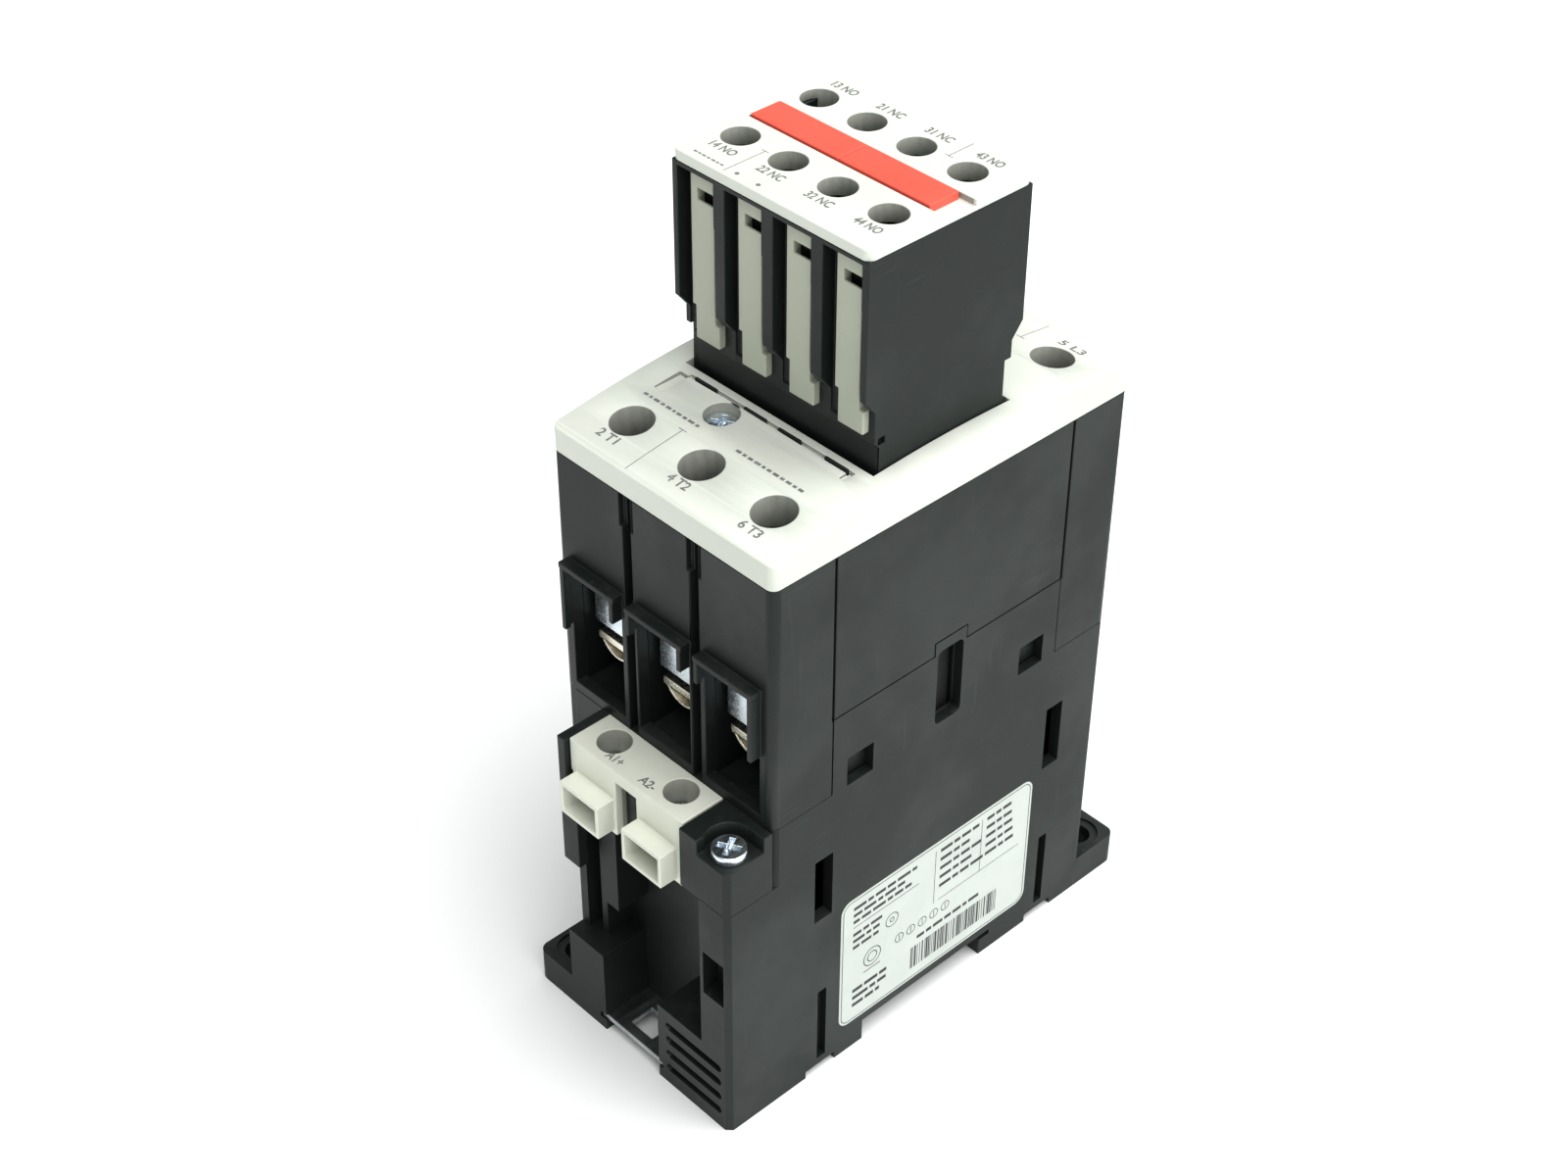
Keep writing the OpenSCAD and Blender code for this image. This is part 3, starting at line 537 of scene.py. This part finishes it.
def dress(name, node):
    """Gives a node its finish and, where it has plain corners, a small rounded edge."""
    for slot in node.material_slots:
        slot.material = finishes[slot.material.name.split(".")[0]]
    if name.startswith(NO_BEVEL):
        return 0
    weld = node.modifiers.new("join_faces", "WELD")
    weld.merge_threshold = 0.000002
    edge = node.modifiers.new("rounded_edges", "BEVEL")
    edge.width = FINE_EDGE if name in ("base_housing", "aux_fixed_contacts") else EDGE
    edge.segments, edge.limit_method, edge.angle_limit = 2, "ANGLE", math.radians(40)
    edge.use_clamp_overlap, edge.loop_slide, edge.harden_normals = name == "base_housing", False, True
    return 1


print(sum(dress(name, node) for name, node in nodes.items()), "of", len(nodes), "nodes get rounded edges")

# %% [markdown]
# ## Springs
# The imported model stands each spring in as a stack of plain rings. Here each is wound as real wire:
# one helix whose first and last turns close up flat, the way a compression spring is ground to
# sit square. Each spring moves with one body of the frame.

# %% Springs wound from wire


CLOSED_TURNS = 0.85      # turns that close up flat at each end
CLOSED_RISE = 0.9        # climb of a closed end, in wire diameters


def helix_points(centre, z0, z1, radius, wire, turns, steps=28):
    """Centre line of a compression spring with closed ends; wire is the radius of its wire."""
    low, high = z0 + wire, z1 - wire
    rise = 2 * wire * CLOSED_RISE
    points = []
    total = turns * steps
    for i in range(total + 1):
        turn = i / total * turns
        first = min(turn / CLOSED_TURNS, 1.0)
        lift = min(max((turn - CLOSED_TURNS) / (turns - 2 * CLOSED_TURNS), 0.0), 1.0)
        last = min(max((turn - turns + CLOSED_TURNS) / CLOSED_TURNS, 0.0), 1.0)
        x = centre[0] + radius * math.cos(2 * math.pi * turn)
        y = centre[1] + radius * math.sin(2 * math.pi * turn)
        points.append(Vector((x, y, low + rise * (first + last) + (high - low - 2 * rise) * lift)))
    return points


def add_tube(vertices, faces, points, wire, sides=10):
    """Tube of the given wire radius along points, appended to a vertex and face list."""
    start = len(vertices)
    for i, point in enumerate(points):
        ahead = (points[min(i + 1, len(points) - 1)] - points[max(i - 1, 0)]).normalized()
        side = ahead.cross(Vector((0, 0, 1))).normalized()
        up = side.cross(ahead)
        for k in range(sides):
            a = 2 * math.pi * k / sides
            vertices.append(point + wire * (math.cos(a) * side + math.sin(a) * up))
    for i in range(len(points) - 1):
        for k in range(sides):
            a, b = start + i * sides + k, start + i * sides + (k + 1) % sides
            faces.append((a, b, b + sides, a + sides))
    faces.append(tuple(start + k for k in reversed(range(sides))))
    faces.append(tuple(start + (len(points) - 1) * sides + k for k in range(sides)))


def new_piece(name, vertices, faces, finish, body, smooth=False):
    """Mesh with its finish that moves with a body of the frame."""
    mesh = bpy.data.meshes.new(name)
    mesh.from_pydata([tuple(v) for v in vertices], [], faces)
    mesh.validate()
    shape = bmesh.new()
    shape.from_mesh(mesh)
    bmesh.ops.recalc_face_normals(shape, faces=shape.faces)
    shape.to_mesh(mesh)
    shape.free()
    if smooth:
        mesh.shade_smooth()
    piece = bpy.data.objects.new(name, mesh)
    piece.data.materials.append(finishes[finish])
    bpy.context.scene.collection.objects.link(piece)
    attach(piece, body)
    return piece


def wind_springs(name, node, body, radius, wire, turns, springs):
    """One piece holding every spring of a node; springs lists (x, y, low z, high z)."""
    vertices, faces = [], []
    for x, y, low, high in springs:
        add_tube(vertices, faces, helix_points((x, y), low, high, radius, wire, turns), wire)
    piece = new_piece(name, vertices, faces, "spring_steel", body, smooth=True)
    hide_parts(node)
    return piece


radius, wire = 3.2 * MM, 0.55 * MM
low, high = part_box("return_springs")
reach = high[1] - radius - wire
piece = wind_springs("wound_return_springs", "return_springs", "housing", radius, wire, 8,
                     [(0, -reach, low[2], high[2]), (0, reach, low[2], high[2])])
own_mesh(piece)

radius, wire = 3.4 * MM, 0.5 * MM
for pole in (1, 2, 3):
    low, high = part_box(f"bridge_spring_{pole}")
    middle = (low[0] + high[0]) / 2
    piece = wind_springs(f"wound_bridge_spring_{pole}", f"bridge_spring_{pole}", "carrier", radius, wire, 6,
                         [(middle, 0, low[2], high[2])])
    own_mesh(piece)

radius, wire = 1.5 * MM, 0.25 * MM
low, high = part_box("aux_springs")
half = (low[2] + high[2]) / 2
pitch = (high[0] - low[0] - 2 * (radius + wire)) / 3
rows = []
for i in range(4):
    foot, head = (low[2], half) if i in (0, 3) else (half, high[2])
    rows.append((low[0] + radius + wire + i * pitch, 0, foot, head))
wind_springs("wound_aux_springs", "aux_springs", "aux_drive", radius, wire, 5, rows)

# %% [markdown]
# ## Painted shade in the slots and a gap
# Four thin dark blocks stand against the far walls of four slots in front of the auxiliary switch,
# and a dark block fills the gap between the two coil terminals. They are painted shade for the
# dark depth of these openings, in the charcoal finish of the case, small blocks with rounded edges.

# %% Painted shade blocks in the slots and the gap


def add_block(vertices, faces, low, high):
    """Box with its eight corners and six faces appended to the lists."""
    start = len(vertices)
    for x in (low[0], high[0]):
        for y in (low[1], high[1]):
            for z in (low[2], high[2]):
                vertices.append(Vector((x, y, z)) * MM)
    for face in ((0, 1, 3, 2), (4, 6, 7, 5), (0, 4, 5, 1), (2, 3, 7, 6), (0, 2, 6, 4), (1, 5, 7, 3)):
        faces.append(tuple(start + i for i in face))


def round_block_edges(piece, width):
    edge = piece.modifiers.new("rounded_edges", "BEVEL")
    edge.width, edge.segments, edge.limit_method = width, 2, "ANGLE"
    edge.harden_normals = True


# Painted shade: thin dark blocks at the far walls of four slots.
vertices, faces = [], []
for x in (-18.1, -5.8, 2.6, 13.8):
    add_block(vertices, faces, (x + 0.06, -18.56, 126.1), (x + 5.34, -18.04, 128.75))
round_block_edges(new_piece("painted_slot_shade", vertices, faces, "housing_plastic", "housing"), 0.00006)
# Painted shade: dark blocks that fill the gap between the two coil terminals.
vertices, faces = [], []
add_block(vertices, faces, (-2.68, -50.0, 54.0), (2.68, -43.3, 66.2))
add_block(vertices, faces, (-1.1, -50.5, 54.6), (1.1, -49.6, 65.4))
round_block_edges(new_piece("painted_gap_shade", vertices, faces, "housing_plastic", "housing"), 0.00015)
print("rib ends and partition in place")

# %% [markdown]
# ## Printed markings
# Terminal numbers follow the common scheme for such switches: a mains terminal is 1 L1 to 6 T3, a
# coil terminal A1 or A2, and an auxiliary contact has a two digit number with NO or NC. Each
# marking starts as a flat text outline. Its points are then dropped onto the surface below along
# a ray, and lifted by two hundredths of a millimetre, the thickness of a print. Plain bars stand
# where the real object carries longer printed codes.

# %% Print helpers
LIFT = 0.02 * MM
LETTER_HEIGHT = 1.9
BAR_STEP = 0.8      # longest stretch of a bar between two cuts


def surface_tree(*names):
    """Ray casting tree over the meshes of some nodes, whose places are in their meshes."""
    vertices, faces = [], []
    for name in names:
        mesh = nodes[name].data
        start = len(vertices)
        vertices += [v.co.copy() for v in mesh.vertices]
        faces += [tuple(start + i for i in p.vertices) for p in mesh.polygons]
    return BVHTree.FromPolygons(vertices, faces)


def text_outline(text):
    """Points and faces of a filled text outline a millimetre in size, from the origin."""
    curve = bpy.data.curves.new("outline", "FONT")
    curve.body, curve.size, curve.resolution_u = text, MM, 3
    curve.offset = 0.022 * MM      # a slightly bold stroke
    holder = bpy.data.objects.new("outline", curve)
    mesh = bpy.data.meshes.new_from_object(holder)
    points = [v.co.copy() for v in mesh.vertices]
    faces = [tuple(p.vertices) for p in mesh.polygons]
    bpy.data.objects.remove(holder)
    bpy.data.curves.remove(curve)
    bpy.data.meshes.remove(mesh)
    return points, faces


def flat_bar(x0, y0, x1, y1):
    """Rectangle cut into short lengths, so that a long line can follow a curved surface."""
    cuts = max(1, math.ceil(max(x1 - x0, y1 - y0) / BAR_STEP))
    long_x = x1 - x0 > y1 - y0
    points, faces = [], []
    for i in range(cuts + 1):
        share = i / cuts
        if long_x:
            points += [(x0 + (x1 - x0) * share, y0), (x0 + (x1 - x0) * share, y1)]
        else:
            points += [(x1, y0 + (y1 - y0) * share), (x0, y0 + (y1 - y0) * share)]
    for i in range(cuts):
        faces.append((2 * i, 2 * i + 2, 2 * i + 3, 2 * i + 1))
    return [Vector((x, y, 0)) * MM for x, y in points], faces


def ring_faces(count):
    """Faces that join two closed rows of count points, where one row follows the other."""
    return [(i, (i + 1) % count, count + (i + 1) % count, count + i) for i in range(count)]


def flat_ring(x, y, radius, width, sides=28):
    turn = [2 * math.pi * i / sides for i in range(sides)]
    points = [Vector((x + r * math.cos(a), y + r * math.sin(a), 0)) * MM
              for r in (radius, radius - width) for a in turn]
    return points, ring_faces(sides)


class Print:
    """Collects flat shapes, then drops them onto a surface as one piece."""

    def __init__(self):
        self.points, self.faces = [], []

    def add(self, shape, shift=(0, 0)):
        """Adds points in metres and their faces, moved by shift in millimetres."""
        start = len(self.points)
        self.points += [p + Vector((shift[0] * MM, shift[1] * MM, 0)) for p in shape[0]]
        self.faces += [tuple(start + i for i in face) for face in shape[1]]

    def text(self, text, x0, x1, y):
        """Text whose first letter starts at x0 and last one ends at x1, with its foot at y."""
        points, faces = text_outline(text)
        left, right = min(p.x for p in points), max(p.x for p in points)
        top = max(p.y for p in points)
        wide, tall = (x1 - x0) * MM / (right - left), LETTER_HEIGHT * MM / top
        self.add(([Vector(((p.x - left) * wide, p.y * tall, 0)) for p in points], faces), (x0, y))

    def bars(self, x, y, widths, height=0.75, gap=0.5):
        """Row of bars that stands for a line of small text."""
        for width in widths:
            self.add(flat_bar(x, y, x + width, y + height))
            x += width + gap

    def drop(self, name, tree):
        """Lays the print on the highest surface of tree, in grey ink."""
        above, down = 0.3, Vector((0, 0, -1))
        hits = [tree.ray_cast(Vector((p.x, p.y, above)), down)[0] for p in self.points]
        faces = [f for f in self.faces if all(hits[i] for i in f)]
        points = [hit + Vector((0, 0, LIFT)) if hit else Vector((0, 0, 0)) for hit in hits]
        print(name, len(faces), "faces")
        return new_piece(name, points, faces, "grey_ink", "housing")


# %% [markdown]
# ## Markings
# The cover plate carries the six main terminal numbers, the auxiliary cover its eight contact
# numbers, and the coil block A1 and A2. A thin line with a short cross bar parts the numbers, and
# rows of bars stand for codes. All the marks of one surface are one piece.

# %% Markings on the cover plates and the coil block
plate = Print()
for text, x0, x1, y in (("2 T1", -19.9, -15.1, -39.4), ("4 T2", -2.1, 2.8, -39.4),
                        ("6 T3", 15.3, 20.2, -39.5), ("1 L1", -19.9, -15.4, 38.0),
                        ("3 L2", -2.4, 2.6, 38.0), ("5 L3", 14.4, 20.1, 38.0)):
    plate.text(text, x0, x1, y)
plate.add(flat_bar(-9.1, -42.0, -8.95, -29.2))
plate.add(flat_bar(-10.0, -29.35, -8.1, -29.2))
plate.add(flat_bar(9.2, 33.9, 9.35, 41.6))
plate.add(flat_bar(8.3, 33.9, 10.2, 34.05))
plate.bars(-21.6, -27.2, (1.0, 0.7, 1.3, 0.9, 1.2, 0.6, 1.1, 0.9, 1.4, 0.8), 0.6, 0.45)
plate.bars(1.6, -27.2, (1.2, 0.8, 1.1, 1.4, 0.7, 1.0, 1.3, 0.9, 1.2, 0.8, 1.1), 0.6, 0.45)
plate.drop("plate_print", surface_tree("front_plate"))

top = Print()
for text, x0, x1, y in (("14 NO", -19.4, -13.7, -13.6), ("22 NC", -8.2, -2.5, -13.6),
                        ("32 NC", 3.0, 8.7, -13.7), ("44 NO", 13.9, 19.6, -13.7),
                        ("13 NO", -20.7, -15.1, 15.3), ("21 NC", -10.0, -4.2, 15.3),
                        ("31 NC", 1.3, 7.0, 15.3), ("43 NO", 12.6, 18.3, 15.3)):
    top.text(text, x0, x1, y)
top.add(flat_bar(-11.3, -17.7, -11.15, -8.4))
top.add(flat_bar(-12.1, -8.5, -10.4, -8.35))
top.add(flat_bar(9.8, 12.3, 9.95, 18.1))
top.add(flat_bar(9.0, 12.2, 10.8, 12.35))
for x in (-9.0, -4.0):
    top.add(flat_ring(x, -16.7, 0.42, 0.42))
top.bars(-19.4, -16.8, (0.8, 0.6, 0.9, 0.7, 0.9, 0.6, 0.8), 0.4, 0.3)
top.drop("aux_print", surface_tree("aux_cover"))

coil = Print()
coil.text("A1+", -7.2, -3.4, -50.8)
coil.text("A2-", 1.6, 5.3, -50.8)
coil.drop("coil_print", surface_tree("coil_terminal_block"))

# %% [markdown]
# ## Rating label
# The label is a sheet of white film with rounded corners and a thin printed rim. Bars of varied
# length stand in for its text, and plain geometric symbols and a row of thin stripes for the
# rest, so that it reads as a label without repeating any real one. Everything on it stays within
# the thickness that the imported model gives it.

# %% Label sheet and print


FILM = 0.085              # thickness of the film
PRINT_FACE = 0.1          # where the print lies, from the back of the film
CORNER = 2.5
RIM_EDGES = (0.5, 0.66)   # outer and inner edge of the rim, from the edge of the label


def rounded_rectangle(y0, y1, z0, z1, radius, corner_steps=6):
    outline = []
    for cy, cz, start in ((y1 - radius, z1 - radius, 0), (y0 + radius, z1 - radius, 90),
                          (y0 + radius, z0 + radius, 180), (y1 - radius, z0 + radius, 270)):
        for i in range(corner_steps + 1):
            a = math.radians(start + 90 * i / corner_steps)
            outline.append((cy + radius * math.cos(a), cz + radius * math.sin(a)))
    return outline


low, high = (Vector(v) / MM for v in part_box("rating_label"))
outline = rounded_rectangle(low.y, high.y, low.z, high.z, CORNER)
count = len(outline)
vertices = [Vector((x, y, z)) * MM for x in (low.x, low.x + FILM) for y, z in outline]
faces = [tuple(range(count))[::-1], tuple(range(count, 2 * count))]
faces += ring_faces(count)
sheet = new_piece("label_sheet", vertices, faces, "label_film", "housing")
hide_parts("rating_label")

ink = Print()


def mark(y0, z0, y1, z1):
    """Bar in label places: y from the front end and z from the foot of the label."""
    ink.add(flat_bar(y0, z0, y1, z1))


wide, tall = high.y - low.y, high.z - low.z
rim, inner = (rounded_rectangle(m, wide - m, m, tall - m, CORNER - m) for m in RIM_EDGES)
ink.add(([Vector((y, z, 0)) * MM for y, z in rim + inner], ring_faces(count)))
for row, widths in enumerate(((3.2, 1.4, 2.6, 2.1, 3.4, 1.2), (2.2, 3.1, 1.3, 2.8, 1.9),
                              (1.6, 2.4, 3.3, 1.4, 2.2, 1.7))):
    ink.bars(3.2, 29.4 - row * 1.7, widths)
mark(3.2, 24.9, 20.4, 25.05)
for row, widths in enumerate(((2.1, 1.5, 2.9), (3.0, 1.2, 1.7), (1.7, 2.6, 1.4))):
    ink.bars(3.2, 22.7 - row * 1.7, widths)
for row, widths in enumerate(((2.6, 3.5, 1.9), (4.1, 1.5, 2.3), (2.9, 2.2, 1.1))):
    ink.bars(3.4, 7.6 - row * 1.9, widths, 0.85)
for row in range(5):
    ink.bars(26.0, 29.3 - row * 2.3, (3.1, 1.6, 2.4)[: 3 - row % 2] + (1.8 + 0.4 * row,), 0.8)
    ink.bars(38.6, 29.3 - row * 2.3, (2.0 + 0.3 * row, 1.4, 2.3), 0.8)
mark(24.6, 16.8, 24.72, 30.4)
mark(37.2, 16.8, 37.32, 30.4)
mark(26.0, 16.9, 48.2, 17.02)
for i in range(5):
    y = 15.6 + i * 3.1
    ink.add(flat_ring(y, 14.0, 1.15, 0.16))
    mark(y - 0.08, 13.2, y + 0.08, 14.8)
for radius in (2.3, 1.3):
    ink.add(flat_ring(8.4, 14.2, radius, 0.2))
mark(6.2, 11.1, 10.6, 11.3)
ink.add(flat_ring(13.4, 20.3, 1.7, 0.18))
ink.add(flat_ring(13.4, 20.3, 0.6, 0.18))
STRIPE = 0.16      # thinnest stripe
pattern = (2, 1, 3, 1, 1, 2, 1, 3, 2, 1, 1, 1, 3, 2, 1, 2)
y = 19.0
for i in range(44):
    stripe = STRIPE * pattern[i % 16]
    mark(y, 3.0, y + stripe, 8.6)
    y += stripe + STRIPE * pattern[(i * 5 + 3) % 16]
    if y > wide - 3.4:
        break
ink.bars(20.5, 10.2, (2.0, 1.4, 2.6, 1.8, 2.3, 1.1, 2.8), 0.8)
front = low.x + PRINT_FACE
points = [Vector((front, low.y + p.x / MM, low.z + p.y / MM)) * MM for p in ink.points]
new_piece("label_print", points, ink.faces, "black_ink", "housing")
print("label marks:", len(ink.faces))
